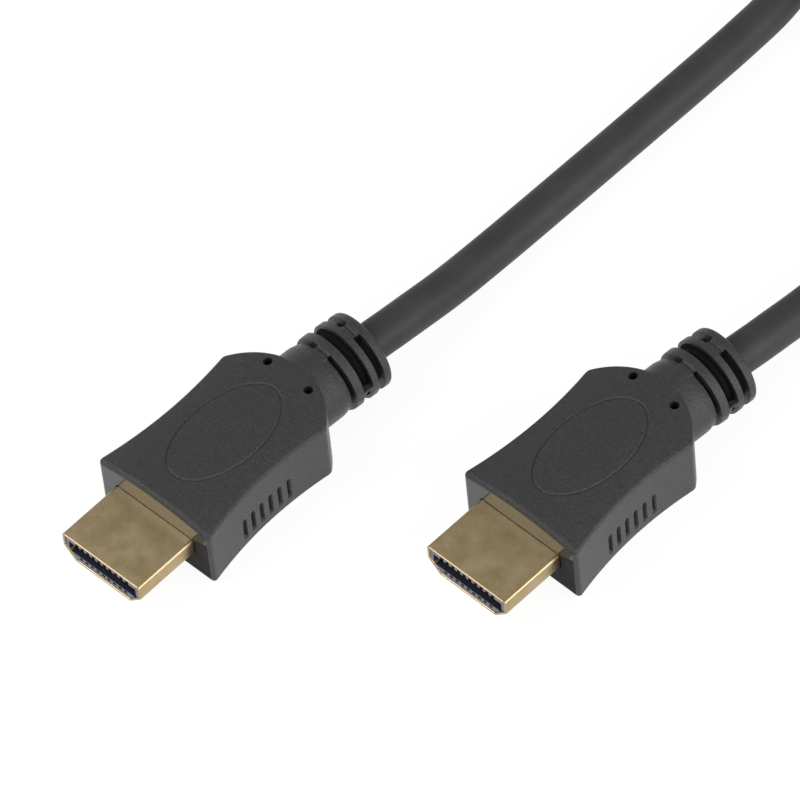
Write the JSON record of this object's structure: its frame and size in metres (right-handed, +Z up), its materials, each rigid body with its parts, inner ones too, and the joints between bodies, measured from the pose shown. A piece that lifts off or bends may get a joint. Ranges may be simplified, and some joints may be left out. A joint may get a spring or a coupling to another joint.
{
  "type": "digital video cable with moulded plugs",
  "caption": "Round black video cable with a flat, waisted moulded plug and gold metal shell at each end, its spare length wound into a strapped coil.",
  "frame": {"origin": "on the surface that the cable lies on, below the middle of the box round the two plugs", "axes": "+Z up; the plugs' metal tips point to -Y and the cable leaves them towards +Y; X runs across the plugs"},
  "size_m": [0.0848, 0.2161, 0.0137],
  "materials": {
    "overmould": "fine matte grain, charcoal",
    "cable": "smooth satin sheath, charcoal",
    "shell": "dull gold plating",
    "insulator": "dark blue-grey moulding",
    "contact": "plated spring metal",
    "strap": "black hook and loop tape"
  },
  "bodies": {
    "root": {"plug_a_overmould": "overmould", "plug_a_shell": "shell", "plug_a_insulator": "insulator", "plug_a_contact_01": "contact", "plug_a_contact_02": "contact", "plug_a_contact_03": "contact", "plug_a_contact_04": "contact", "plug_a_contact_05": "contact", "plug_a_contact_06": "contact", "plug_a_contact_07": "contact", "plug_a_contact_08": "contact", "plug_a_contact_09": "contact", "plug_a_contact_10": "contact", "plug_a_contact_11": "contact", "plug_a_contact_12": "contact", "plug_a_contact_13": "contact", "plug_a_contact_14": "contact", "plug_a_contact_15": "contact", "plug_a_contact_16": "contact", "plug_a_contact_17": "contact", "plug_a_contact_18": "contact", "plug_a_contact_19": "contact", "plug_b_overmould": "overmould", "plug_b_shell": "shell", "plug_b_insulator": "insulator", "plug_b_contact_01": "contact", "plug_b_contact_02": "contact", "plug_b_contact_03": "contact", "plug_b_contact_04": "contact", "plug_b_contact_05": "contact", "plug_b_contact_06": "contact", "plug_b_contact_07": "contact", "plug_b_contact_08": "contact", "plug_b_contact_09": "contact", "plug_b_contact_10": "contact", "plug_b_contact_11": "contact", "plug_b_contact_12": "contact", "plug_b_contact_13": "contact", "plug_b_contact_14": "contact", "plug_b_contact_15": "contact", "plug_b_contact_16": "contact", "plug_b_contact_17": "contact", "plug_b_contact_18": "contact", "plug_b_contact_19": "contact", "cable_run_a": "cable", "cable_run_b": "cable", "cable_coil": "cable", "cable_strap": "strap"}
  },
  "joints": []
}
